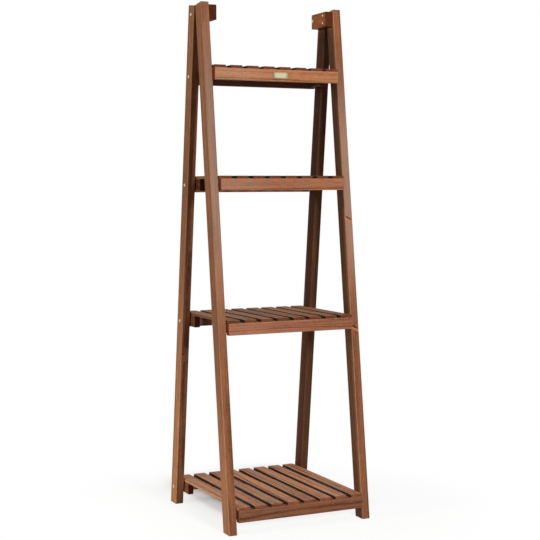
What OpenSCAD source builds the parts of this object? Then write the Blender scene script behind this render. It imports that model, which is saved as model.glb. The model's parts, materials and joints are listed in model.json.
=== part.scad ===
// Folding plant ladder stand: a wooden A-frame that carries slatted shelves.
// Millimetres, +Z up, -Y is the front. The origin lies on the floor, at the middle of the footprint.

/* [Legs] */
// Height of the highest corner of the legs
stand_height = 1450; // [1430:5:1560]
// Width across the outer faces of the front legs
stand_width = 435; // [380:5:520]
// Lean of every leg from upright, in degrees
leg_lean = 6.9; // [6.2:0.1:7.6]
// Width of a leg, seen from the front
leg_width = 24; // [20:1:30]
// Depth of a leg, seen from the side
leg_depth = 42; // [38:1:48]
// Gap between a front and a rear leg at the top
leg_top_gap = 5; // [3:0.5:10]

/* [Shelf heights] */
// Distance of shelf 1, the highest, below the highest corner of the legs
shelf_1_below_top = 174; // [165:1:220]
// Distance of shelf 2 below the highest corner of the legs
shelf_2_below_top = 479; // [460:1:520]
// Height of shelf 3 above the floor
shelf_3_height = 577; // [545:1:600]
// Height of shelf 4, the lowest, above the floor
shelf_4_height = 75; // [60:1:85]

/* [Shelves] */
// Number of slats on a shelf
slat_count = 8; // [5:1:8]
// Width of a slat
slat_width = 35; // [25:1:40]
// Thickness of a slat
slat_thickness = 8; // [6:0.5:12]
// Distance of a slat's end behind the face of its rail
slat_setback = 4.5; // [2:0.5:8]
// Height of a front rail
front_rail_height = 33; // [30:1:38]
// Height of a rear rail
rear_rail_height = 38; // [32:1:40]
// Thickness of the front and rear rails
rail_thickness = 17; // [15:1:20]
// Distance that a rail stands out past the legs, measured at half its height
rail_proud = 12; // [9:0.5:14]
// Gap between a shelf and the inner face of a front leg
shelf_side_gap = 2.25; // [1.5:0.25:4]
// Height of a side block
side_block_height = 34; // [30:1:38]
// Thickness of a side block
side_block_thickness = 17; // [15:1:22]
// Distance that a side block reaches ahead of the rear leg
side_block_reach = 28; // [20:1:40]

/* [Front crossbars] */
// Height of a crossbar
crossbar_height = 27; // [24:1:30]
// Thickness of a crossbar
crossbar_thickness = 18; // [16:1:22]
// Gap between a crossbar and the front rail that hooks over it
hook_gap = 0.5; // [0.3:0.1:1]
// Diameter of a dowel
dowel_diameter = 8; // [6:1:8]
// Length of a dowel
dowel_length = 30; // [24:1:34]
// Height between the two dowels of a joint
dowel_spacing = 13; // [11:1:14]

/* [Top blocks] */
// Length of a top block, front to rear
top_block_length = 86; // [76:1:92]
// Height of a top block
top_block_height = 42; // [38:1:46]
// Thickness of a top block
top_block_thickness = 24; // [20:1:28]
// Distance of its top below the highest corner of the legs
top_block_drop = 7; // [6:0.5:12]
// Height between the two screws into the front leg
block_screw_spacing = 22; // [18:1:26]

/* [Screws and bolts] */
// Diameter of the shank of a pivot screw or bolt
pivot_screw_diameter = 5; // [4:0.5:6]
// Diameter of its head
pivot_head_diameter = 9; // [8:0.5:11]
// Length of a pivot screw inside a side block
pivot_screw_bite = 13; // [10:1:14]
// Width across the flats of a top bolt's nut
nut_width = 8; // [7.5:0.5:10]
// Height of the nut, with its dome
nut_height = 7; // [6:0.5:9]
// Diameter of a block screw's shank
block_screw_diameter = 4; // [3:0.5:5]
// Diameter of a block screw's head
block_head_diameter = 7; // [6:0.5:9]
// Length of a block screw inside the front leg
block_screw_bite = 15; // [12:1:18]

/* [Plate] */
// Width of the plate on the top front rail
plate_width = 46; // [35:1:60]
// Height of the plate
plate_height = 17; // [12:1:22]
// Thickness of the plate
plate_thickness = 1; // [0.6:0.1:1.5]
// Distance of the plate's centre to the right of the rail's centre
plate_offset = 8; // [0:1:20]

/* [Hidden] */
$fn = 48;
sides = ["left", "right"];
shelf_tops = [
    stand_height - shelf_1_below_top, stand_height - shelf_2_below_top,
    shelf_3_height, shelf_4_height
];
shelf_count = len(shelf_tops);
shelves = [1:shelf_count];

// Clearances
pin_fit = 0.05;        // radial, around a screw or dowel
seat_gap = 0.3;        // between pieces that rest on each other but move apart
pivot_gap = 0.3;       // between a top block and a rear leg that turns on it
hole_reserve = 0.5;    // extra depth of a blind hole
through = 1;           // reach of a cutting shape past a face

// Eased edges
leg_ease = 2;
rail_ease = 1.5;
slat_ease = 1.2;
plate_corner = 2;

// Screw heads
head_height_share = 0.26;
slot_width_share = 0.14;
slot_length_share = 0.62;
slot_depth_share = 0.5;
screw_tip_length = 3;
head_steps = 6;
nut_wall = 2;
nut_flats_share = 0.55;

// Legs
leg_run = leg_depth / cos(leg_lean);
base_half = leg_top_gap / 2 + stand_height * tan(leg_lean) + leg_run;
leg_inner = stand_width / 2 - leg_width;
leg_length = (stand_height - leg_depth / 2 * sin(leg_lean)) / cos(leg_lean);
foot_reserve = leg_depth * tan(leg_lean);

// Half depth of the frame at a height: outer faces, centrelines and inner faces of the legs
function leg_outer_at(z) = base_half - z * tan(leg_lean);
function leg_centre_at(z) = leg_outer_at(z) - leg_run / 2;
function leg_inner_at(z) = leg_outer_at(z) - leg_run;

// Shelves
shelf_half = leg_inner - shelf_side_gap;
slat_pitch = (2 * shelf_half - slat_width) / (slat_count - 1);
function slat_under(k) = shelf_tops[k - 1] - slat_thickness;
function rail_middle(k) = slat_under(k) - front_rail_height / 2;
function rail_face(k) = leg_outer_at(rail_middle(k)) + rail_proud;
function side_block_middle(k) = slat_under(k) - side_block_height / 2;

// Front crossbars
function crossbar_front(k) = -rail_face(k) + rail_thickness + hook_gap;
function crossbar_top(k) = slat_under(k) - seat_gap;
function crossbar_middle(k) = crossbar_top(k) - crossbar_height / 2;

// Top blocks
top_block_top = stand_height - top_block_drop;
top_block_middle = top_block_top - top_block_height / 2;
block_screw_y = -leg_centre_at(top_block_middle);
block_screw_heights = [for (s = [-1, 1]) top_block_middle + s * block_screw_spacing / 2];

// Pivots on the rear legs: [y, z], first the top one and then one for each shelf
top_pivot = [leg_centre_at(top_block_middle), top_block_middle];
function shelf_pivot(k) = [leg_centre_at(side_block_middle(k)), side_block_middle(k)];
pivots = concat([top_pivot], [for (k = shelves) shelf_pivot(k)]);
rear_leg_outer = leg_inner + pivot_gap + leg_width;
pivot_screw_length = leg_width + pivot_gap + shelf_side_gap + pivot_screw_bite;
nut_bore_depth = nut_height - nut_wall;
top_bolt_length = leg_width + pivot_gap + top_block_thickness + seat_gap + nut_bore_depth - hole_reserve;

// ---- Shared shapes ----

module eased_outline(a, b, ease) {
    polygon([
        [ease, 0], [a - ease, 0], [a, ease], [a, b - ease],
        [a - ease, b], [ease, b], [0, b - ease], [0, ease]
    ]);
}

// A board with all its edges eased, in the positive octant
module eased_board(size, ease) {
    intersection() {
        linear_extrude(size.z) eased_outline(size.x, size.y, ease);
        translate([0, size.y, 0]) rotate([90, 0, 0])
            linear_extrude(size.y) eased_outline(size.x, size.z, ease);
        rotate([90, 0, 90]) linear_extrude(size.x) eased_outline(size.y, size.z, ease);
    }
}

// Mirrors a piece drawn on the right to the side asked for
module on_side(side) {
    mirror([side == "left" ? 1 : 0, 0, 0]) children();
}

module both_sides() {
    for (side = sides) on_side(side) children();
}

// A cylinder along X from x, at a place [y, z]
module rod_along_x(x, place, length, radius) {
    translate([x, place.x, place.y]) rotate([0, 90, 0]) cylinder(h = length, r = radius);
}

// A round-headed screw along +X, its head's seat at x = 0 and its shank towards +X
module screw(shank_diameter, head_diameter, length, tip_length = screw_tip_length) {
    head_height = head_diameter * head_height_share;
    head_radius = head_diameter / 2;
    shank_radius = shank_diameter / 2;
    rotate([0, 90, 0]) difference() {
        rotate_extrude() polygon(concat(
            [for (i = [0:head_steps])
                [head_radius * sin(90 * i / head_steps), -head_height * cos(90 * i / head_steps)]],
            [[shank_radius, 0], [shank_radius, length - tip_length], [0, length]]
        ));
        for (turn = [0, 90]) rotate(turn)
            translate([0, 0, -head_height])
                cube([
                    head_diameter * slot_length_share,
                    head_diameter * slot_width_share,
                    2 * head_height * slot_depth_share
                ], center = true);
    }
}

// ---- Legs ----

// A leg on the right at the front, before its holes are cut
module leaning_leg() {
    difference() {
        translate([leg_inner, -leg_centre_at(0), 0]) rotate([-leg_lean, 0, 0])
            translate([0, -leg_depth / 2, -foot_reserve])
                eased_board([leg_width, leg_depth, leg_length + foot_reserve], leg_ease);
        translate([leg_inner - through, -base_half - leg_depth, -2 * foot_reserve])
            cube([leg_width + 2 * through, 3 * leg_depth, 2 * foot_reserve]);
    }
}

module front_leg(side) {
    color("#a5735a") on_side(side) difference() {
        leaning_leg();
        for (k = shelves) for (place = dowel_places(k))
            rod_along_x(leg_inner - through, place,
                through + dowel_length / 2 + hole_reserve, dowel_diameter / 2 + pin_fit);
        for (z = block_screw_heights)
            rod_along_x(leg_inner - through, [block_screw_y, z],
                through + block_screw_bite + hole_reserve, block_screw_diameter / 2 + pin_fit);
    }
}

module rear_leg(side) {
    color("#9a6850") on_side(side) difference() {
        translate([pivot_gap, 0, 0]) mirror([0, 1, 0]) leaning_leg();
        for (place = pivots)
            rod_along_x(leg_inner, place, leg_width + 2 * through,
                pivot_screw_diameter / 2 + pin_fit);
    }
}

// ---- Top blocks ----

module top_block(side) {
    inner_face = leg_inner - top_block_thickness;
    color("#8a5a42") on_side(side) difference() {
        translate([inner_face, -top_block_length / 2, top_block_top - top_block_height])
            eased_board([top_block_thickness, top_block_length, top_block_height], rail_ease);
        rod_along_x(inner_face - through, top_pivot,
            top_block_thickness + 2 * through, pivot_screw_diameter / 2 + pin_fit);
        for (z = block_screw_heights)
            rod_along_x(inner_face - through, [block_screw_y, z],
                top_block_thickness + 2 * through, block_screw_diameter / 2 + pin_fit);
    }
}

module top_block_screws() {
    color("#c9a24a") both_sides() for (z = block_screw_heights)
        translate([leg_inner - top_block_thickness, block_screw_y, z])
            screw(block_screw_diameter, block_head_diameter, top_block_thickness + block_screw_bite);
}

// ---- Front crossbars ----

function dowel_places(k) = [for (s = [-1, 1])
    [crossbar_front(k) + crossbar_thickness / 2, crossbar_middle(k) + s * dowel_spacing / 2]];

module front_crossbar(k) {
    color("#8a5a42") difference() {
        translate([-leg_inner, crossbar_front(k), crossbar_top(k) - crossbar_height])
            eased_board([2 * leg_inner, crossbar_thickness, crossbar_height], rail_ease);
        both_sides() for (place = dowel_places(k))
            rod_along_x(leg_inner - dowel_length / 2 - hole_reserve, place,
                dowel_length / 2 + hole_reserve + through, dowel_diameter / 2 + pin_fit);
    }
}

module crossbar_dowels() {
    color("#d8b98c") both_sides() for (k = shelves) for (place = dowel_places(k))
        rod_along_x(leg_inner - dowel_length / 2, place, dowel_length, dowel_diameter / 2);
}

// ---- Shelves ----

module shelf_rail(k, height) {
    translate([-shelf_half, -rail_face(k), slat_under(k) - height])
        eased_board([2 * shelf_half, rail_thickness, height], rail_ease);
}

module shelf_front_rail(k) {
    color("#b07a5a") shelf_rail(k, front_rail_height);
}

module shelf_rear_rail(k) {
    color("#8a5a42") mirror([0, 1, 0]) shelf_rail(k, rear_rail_height);
}

module shelf_side_blocks(k) {
    block_front = leg_inner_at(side_block_middle(k)) - side_block_reach;
    block_rear = rail_face(k) - rail_thickness;
    color("#8a5a42") both_sides() difference() {
        translate([shelf_half - side_block_thickness, block_front, slat_under(k) - side_block_height])
            eased_board([side_block_thickness, block_rear - block_front, side_block_height], rail_ease);
        rod_along_x(shelf_half - pivot_screw_bite - hole_reserve, shelf_pivot(k),
            pivot_screw_bite + hole_reserve + through, pivot_screw_diameter / 2 + pin_fit);
    }
}

module shelf_slat(k, i) {
    reach = rail_face(k) - slat_setback;
    color("#a87a5e") translate([-shelf_half + (i - 1) * slat_pitch, -reach, slat_under(k)])
        eased_board([slat_width, 2 * reach, slat_thickness], slat_ease);
}

// ---- Pivots ----

module pivot_screws() {
    color("#c9a24a") both_sides() for (k = shelves)
        translate([rear_leg_outer, shelf_pivot(k).x, shelf_pivot(k).y]) mirror([1, 0, 0])
            screw(pivot_screw_diameter, pivot_head_diameter, pivot_screw_length);
}

module top_pivot_bolts() {
    color("#c9a24a") both_sides()
        translate([rear_leg_outer, top_pivot.x, top_pivot.y]) mirror([1, 0, 0])
            screw(pivot_screw_diameter, pivot_head_diameter, top_bolt_length, 0);
}

// Domed nuts on the inner faces of the top blocks
module top_pivot_nuts() {
    flats_height = nut_height * nut_flats_share;
    dome_radius = nut_width / 2;
    color("#c9a24a") both_sides()
        translate([leg_inner - top_block_thickness - seat_gap, top_pivot.x, top_pivot.y])
            rotate([0, -90, 0]) difference() {
                union() {
                    cylinder(h = flats_height, d = nut_width / cos(30), $fn = 6);
                    rotate_extrude() polygon(concat([[0, 0]], [for (i = [0:head_steps])
                        [dome_radius * cos(90 * i / head_steps),
                            flats_height + (nut_height - flats_height) * sin(90 * i / head_steps)]]));
                }
                translate([0, 0, -through])
                    cylinder(h = nut_bore_depth + through, r = pivot_screw_diameter / 2 + pin_fit);
            }
}

// ---- Plate ----

module front_plate() {
    color("#c9a24a")
        translate([plate_offset, -rail_face(1), rail_middle(1)]) rotate([90, 0, 0])
            linear_extrude(plate_thickness) {
                square([plate_width, plate_height - 2 * plate_corner], center = true);
                square([plate_width - 2 * plate_corner, plate_height], center = true);
                for (x = [-1, 1]) for (y = [-1, 1])
                    translate([x * (plate_width / 2 - plate_corner), y * (plate_height / 2 - plate_corner)])
                        circle(plate_corner);
            }
}

// ---- Nodes ----

for (side = sides) {
    front_leg(side);
    rear_leg(side);
    top_block(side);
}
for (k = shelves) {
    front_crossbar(k);
    shelf_front_rail(k);
    shelf_rear_rail(k);
    shelf_side_blocks(k);
    for (i = [1:slat_count])
        shelf_slat(k, i);
}
front_plate();
pivot_screws();
top_pivot_bolts();
top_pivot_nuts();
top_block_screws();
crossbar_dowels();
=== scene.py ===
# Dresses the folding plant ladder stand: stained fir boards, brass fixings and a plain pale studio.
# Metres, +Z up. The front of the stand faces -Y. Each board takes its place and size from the frame.
import json
import math
import random
from functools import partial, reduce

import bmesh
import bpy
from bpy.props import FloatProperty, FloatVectorProperty, IntProperty, PointerProperty
from mathutils import Matrix, Vector


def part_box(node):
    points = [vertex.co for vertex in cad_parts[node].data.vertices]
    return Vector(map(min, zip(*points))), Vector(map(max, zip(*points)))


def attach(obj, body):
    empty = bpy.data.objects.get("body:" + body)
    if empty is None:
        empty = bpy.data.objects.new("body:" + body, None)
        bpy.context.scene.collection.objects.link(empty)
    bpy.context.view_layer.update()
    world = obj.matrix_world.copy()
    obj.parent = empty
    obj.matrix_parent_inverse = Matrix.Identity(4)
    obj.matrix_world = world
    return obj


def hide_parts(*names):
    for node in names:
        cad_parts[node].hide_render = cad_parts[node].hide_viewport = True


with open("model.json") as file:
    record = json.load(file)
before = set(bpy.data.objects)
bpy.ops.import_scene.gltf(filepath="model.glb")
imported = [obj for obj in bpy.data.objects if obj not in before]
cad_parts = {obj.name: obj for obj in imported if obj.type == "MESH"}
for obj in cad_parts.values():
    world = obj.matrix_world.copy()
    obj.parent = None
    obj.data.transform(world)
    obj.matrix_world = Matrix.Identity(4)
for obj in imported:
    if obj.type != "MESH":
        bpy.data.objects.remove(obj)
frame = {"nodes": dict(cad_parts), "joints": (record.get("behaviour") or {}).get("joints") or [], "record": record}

bl_info = {
    "name": "Plant Ladder Stand",
    "version": (1, 0, 0),
    "blender": (4, 5, 0),
    "location": "3D View > Sidebar > Plant Stand",
    "description": "Builds the boards, fixings and studio of a folding plant ladder stand",
    "category": "Object",
}

MM = 0.001
X_AXIS = Vector((1, 0, 0))
Y_AXIS = Vector((0, 1, 0))
Z_AXIS = Vector((0, 0, 1))
UPRIGHT_TO_X = Matrix.Rotation(math.pi / 2, 4, "Y")
QUARTER_ARC = [math.radians(angle) for angle in range(0, 91, 9)]
# Corners of a packed node closer than this are one corner.
SAME_PLACE = 0.001 * MM
# Edges sharper than this many degrees stay crisp, and large faces sway the shading by this weight.
WOOD_CREASE, METAL_CREASE, FACE_WEIGHT = 50, 35, 80
SIDES = ("left", "right")
SHELVES = range(1, 5)
SLATS = sorted(
    int(name.rsplit("_", 1)[1]) for name in frame["nodes"] if name.startswith("shelf_1_slat_")
)
BODIES = frame["record"]["behaviour"]["bodies"]
BODY_OF = {node: body for body, nodes in BODIES.items() for node in nodes}
# The frame folds flat when its rear half has turned by twice the lean of a leg.
LEG_LEAN = math.radians(frame["joints"][0]["range_deg"][1]) / 2


# ---- Sizes and colours that a user would change ----


def kind(make, **limits):
    """A short way to write many settings of one kind."""
    return lambda name, description, default: make(
        name=name, description=description, default=default, **limits
    )


def chosen(group):
    """The values of one group of settings: timber, metal, studio or counts."""
    return getattr(bpy.context.scene, "plant_stand_" + group)


length = kind(FloatProperty, min=0, unit="LENGTH")
share = kind(FloatProperty, min=0, max=1, subtype="FACTOR")
colour = kind(FloatVectorProperty, size=3, min=0, max=1, subtype="COLOR")
power = kind(FloatProperty, min=0, unit="POWER")
position = kind(FloatProperty, unit="LENGTH")
rotation = kind(FloatProperty, unit="ROTATION")
number = kind(FloatProperty, min=0)
whole = kind(IntProperty, min=1)


class PlantStandTimber(bpy.types.PropertyGroup):
    """Sizes and stain of the fir boards"""

    leg_depth: length("Leg depth", "Depth of a leg, seen from the side", 42 * MM)
    leg_round: length("Leg rounding", "Radius of a leg's long edges", 2.6 * MM)
    rail_round: length("Rail rounding", "Radius of the long edges of rails and blocks", 2.4 * MM)
    slat_round: length("Slat rounding", "Radius of a slat's long edges", 1.1 * MM)
    end_round: share("End rounding", "Radius at a board's ends, as a share of its long edges'", 0.5)
    ring_width: length("Ring width", "Distance between two growth rings", 6.5 * MM)
    knot_radius: length("Knot radius", "Radius of a knot's dark core", 3.2 * MM)
    leg_stain: colour("Leg stain", "Early wood of the legs", (0.246, 0.096, 0.047))
    rail_stain: colour("Rail stain", "Early wood of the rails", (0.318, 0.134, 0.074))
    slat_stain: colour("Slat stain", "Early wood of the slats", (0.400, 0.192, 0.102))
    block_stain: colour("Block stain", "Early wood of the blocks and crossbars", (0.168, 0.062, 0.028))
    late_wood: colour("Late wood", "Dark part of a growth ring", (0.085, 0.027, 0.012))
    end_grain: colour("End grain", "Sawn ends, where the stain soaks in", (0.150, 0.043, 0.019))
    # Also the colour of pale grain, and of the painted highlight along the rounded edges.
    worn_edge: colour("Worn edge", "Wood where an edge is rubbed", (0.400, 0.190, 0.115))
    # The paler colour painted as a sheen on stretches of the legs' and rails' front faces.
    dry_wood: colour("Dry wood", "Paler wood that took less stain", (0.480, 0.360, 0.290))
    knot_core: colour("Knot core", "Heart of a knot", (0.028, 0.010, 0.005))
    knot_glow: colour("Knot rim", "Resin-rich wood round a knot", (0.500, 0.185, 0.065))
    dowel_wood: colour("Dowel wood", "Plain hardwood of the dowels", (0.600, 0.420, 0.250))


class PlantStandMetal(bpy.types.PropertyGroup):
    """Sizes and colours of the screws, bolts, nuts and plate"""

    pivot_shank: length("Pivot shank", "Diameter of a pivot screw or bolt", 5 * MM)
    block_shank: length("Block shank", "Diameter of a block screw", 4 * MM)
    fit: length("Fit", "Clearance round a screw or dowel", 0.05 * MM)
    reserve: length("Hole reserve", "Extra depth of a blind hole", 0.5 * MM)
    screw_tip: length("Screw tip", "Length of a screw's point", 3 * MM)
    head_height: share("Head height", "Height of a screw head over its diameter", 0.26)
    head_rim: share("Head rim", "Height of a head's straight rim over the head's", 0.14)
    recess_length: share("Recess length", "Length of the cross recess over the head's diameter", 0.6)
    recess_width: share("Recess width", "Width of the cross recess over the head's diameter", 0.15)
    recess_depth: share("Recess depth", "Depth of the cross recess over the head's height", 0.62)
    plate_corner: length("Plate corner", "Radius of the plate's corners", 2 * MM)
    plate_edge: length("Plate edge", "Rounding of the plate's edges", 0.25 * MM)
    brass: colour("Brass", "Polished yellow plating", (0.760, 0.640, 0.430))
    tarnish: colour("Tarnish", "Dulled plating", (0.240, 0.180, 0.105))
    plate: colour("Plate", "Brushed pale plate", (0.780, 0.720, 0.490))
    plate_shade: colour("Plate shade", "Dulled ends of the plate", (0.250, 0.225, 0.140))


class PlantStandStudio(bpy.types.PropertyGroup):
    """Camera, lamps and floor"""

    camera_x: position("Camera X", "Camera place to the right of the stand's middle", -1.5667)
    camera_y: position("Camera Y", "Camera place behind the stand's middle", -3.3340)
    camera_z: position("Camera Z", "Camera height", 0.9329)
    camera_yaw: rotation("Yaw", "Turn to the right", 0.442)
    camera_pitch: rotation("Pitch", "Tilt downwards", 0.063)
    camera_roll: rotation("Roll", "Roll of the camera", -0.004)
    camera_lens: number("Lens", "Focal length in millimetres", 85.25)
    key_power: power("Key lamp", "Power of the far lamp straight in front", 204)
    low_power: power("Low lamp", "Power of the low lamp at the left", 3.2)
    back_power: power("Back lamp", "Power of the high lamp behind the stand", 7)
    side_tint: colour("Side tint", "Colour of the even light from the left", (1.0, 0.90, 0.75))
    side_strength: number("Side light", "Strength of the even light from the left", 1.7)
    ambient: share("Ambient", "Strength of the light from all round", 0.37)
    floor: colour("Floor", "Colour of the floor", (0.880, 0.878, 0.872))
    floor_bounce: colour("Floor bounce", "Colour that the floor throws back", (0.30, 0.29, 0.28))
    floor_shade: colour("Floor shade", "Colour of the floor under the shelf", (0.45, 0.41, 0.38))
    floor_reach: length("Floor reach", "Radius at which the floor has faded to white", 0.78)


class PlantStandCounts(bpy.types.PropertyGroup):
    """How finely round shapes are drawn"""

    edge_steps: whole("Edge steps", "Steps of a rounded edge", 4)
    turn_steps: whole("Turn steps", "Steps round a turned piece", 40)
    plate_steps: whole("Plate steps", "Steps of a corner of the plate", 6)


# ---- Shader maths ----


class Value:
    """A number, colour or vector on a surface. Arithmetic on it adds the Math node that it needs."""

    def __init__(self, surface, socket):
        self.surface = surface
        self.socket = socket

    def __add__(self, other):
        return self.surface.math("ADD", self, other)

    def __sub__(self, other):
        return self.surface.math("SUBTRACT", self, other)

    def __rsub__(self, other):
        return self.surface.math("SUBTRACT", other, self)

    def __mul__(self, other):
        return self.surface.math("MULTIPLY", self, other)

    def __truediv__(self, other):
        return self.surface.math("DIVIDE", self, other)

    __radd__ = __add__
    __rmul__ = __mul__


class Surface:
    """The nodes of one new material or world."""

    def __init__(self, owner):
        owner.use_nodes = True
        owner.node_tree.nodes.clear()
        self.owner = owner
        self.tree = owner.node_tree

    def node(self, kind, inputs=None, output=0, **settings):
        """Adds any node: its settings first, then the values or links of its sockets."""
        made = self.tree.nodes.new("ShaderNode" + kind)
        for name, value in settings.items():
            setattr(made, name, value)
        for name, value in (inputs or {}).items():
            self.feed(self.socket(made.inputs, name), value)
        return Value(self, self.socket(made.outputs, output))

    @staticmethod
    def socket(sockets, name):
        """The live socket of that name or number. Mix holds a socket of each name for each type."""
        live = [each for each in sockets if each.enabled]
        if isinstance(name, int):
            return live[name]
        return next(each for each in live if each.name == name)

    def feed(self, socket, value):
        if isinstance(value, Value):
            self.tree.links.new(value.socket, socket)
        elif socket.type == "RGBA":
            socket.default_value = (*value, 1)
        else:
            socket.default_value = value

    def math(self, operation, *values):
        return self.node("Math", dict(enumerate(values)), operation=operation)

    def vector_math(self, operation, *values):
        return self.node("VectorMath", dict(enumerate(values)), operation=operation)

    def least(self, *values):
        return reduce(partial(self.math, "MINIMUM"), values)

    def most(self, *values):
        return reduce(partial(self.math, "MAXIMUM"), values)

    def size_of(self, value):
        """A value without its sign."""
        return self.math("ABSOLUTE", value)

    def length_of(self, vector):
        return self.node("VectorMath", {0: vector}, "Value", operation="LENGTH")

    def product_of(self, one, other):
        return self.node("VectorMath", {0: one, 1: other}, "Value", operation="DOT_PRODUCT")

    def parts(self, vector):
        split = self.node("SeparateXYZ", {0: vector}).socket.node
        return [Value(self, socket) for socket in split.outputs]

    def vector(self, x, y, z):
        return self.node("CombineXYZ", {0: x, 1: y, 2: z})

    def attribute(self, name):
        return self.node("Attribute", output="Vector", attribute_name=name)

    def noise(self, vector, stretch, detail=2, roughness=0.5):
        """Noise from 0 to 1, with its features per metre along each axis."""
        scaled = self.vector_math("MULTIPLY", vector, stretch)
        sizes = {"Vector": scaled, "Scale": 1, "Detail": detail, "Roughness": roughness}
        return self.node("TexNoise", sizes, noise_dimensions="3D")

    def step(self, value, low, high):
        """Rises smoothly from 0 at low to 1 at high."""
        ends = {"Value": value, "From Min": low, "From Max": high, "To Min": 0, "To Max": 1}
        return self.node("MapRange", ends, interpolation_type="SMOOTHSTEP")

    def mix(self, one, other, factor, blend="MIX"):
        """Colour one where factor is 0 and colour other where it is 1."""
        inputs = {"Factor": factor, "A": one, "B": other}
        return self.node("Mix", inputs, "Result", data_type="RGBA", blend_type=blend)

    def bump(self, height, distance, strength):
        return self.node("Bump", {"Strength": strength, "Distance": distance, "Height": height})

    def place(self):
        """The place on the piece, in metres."""
        return self.node("TexCoord", output="Object")

    def seen(self):
        """1 where the camera sees the surface itself or its mirror image, 0 where it lights others."""
        rays = ("Is Camera Ray", "Is Glossy Ray", "Is Transmission Ray")
        return self.most(*(self.node("LightPath", output=ray) for ray in rays))

    def finish(self, shader, output="OutputMaterial"):
        end = self.tree.nodes.new("ShaderNode" + output)
        self.tree.links.new(shader.socket, end.inputs["Surface"])
        return self.owner

    def principled(self, inputs):
        return self.finish(self.node("BsdfPrincipled", inputs))


# ---- Finishes ----

# Features per metre along, across and through a board, then the noise's detail and roughness.
GRAIN = {
    "wander": ((1.6, 5, 5), 2, 0.5),
    "ripple": ((9, 60, 60), 3, 0.5),
    "fibre": ((14, 900, 900), 4, 0.62),
    "dash": ((40, 420, 420), 3, 0.6),
    "streak": ((2.6, 240, 240), 2, 0.5),
    "cloud": ((6, 30, 30), 3, 0.5),
    "canal": ((34, 1500, 1500), 1, 0.5),
    "speckle": ((170, 380, 380), 3, 0.6),
    "rub": ((60, 300, 300), 3, 0.5),
    "pore": ((1400, 1400, 1400), 2, 0.5),
}
KNOTS = ("knot_one", "knot_two")
# Where a knot's core, its rim and the bend of the grain round it start to fade and have faded, in
# radii of the knot, and how far below the core the rim's middle lies.
KNOT_CORE, KNOT_RIM, KNOT_BEND = (0.40, 1.0), (0.9, 2.4), (0.6, 9)
RIM_DROP = 1.3


def knot_masks(surface, board, which, radius):
    """How far a place is inside a knot's core and rim, and how much the grain bends round it."""
    away = surface.vector_math("SUBTRACT", board, surface.attribute(which))
    axis = surface.attribute(which + "_axis")
    along = surface.product_of(away, axis)
    run = surface.node("VectorMath", {"Vector": axis, "Scale": along}, operation="SCALE")
    across = surface.vector_math("SUBTRACT", away, run)
    lower = surface.vector_math("ADD", across, (RIM_DROP * radius, 0, 0))
    ragged = surface.noise(board, (260, 260, 260), 2) * radius - 0.5 * radius
    masks = []
    for place, (near, far) in ((across, KNOT_CORE), (lower, KNOT_RIM), (across, KNOT_BEND)):
        distance = surface.length_of(place) + ragged
        masks.append(1 - surface.step(distance, near * radius, far * radius))
    return masks


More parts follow.
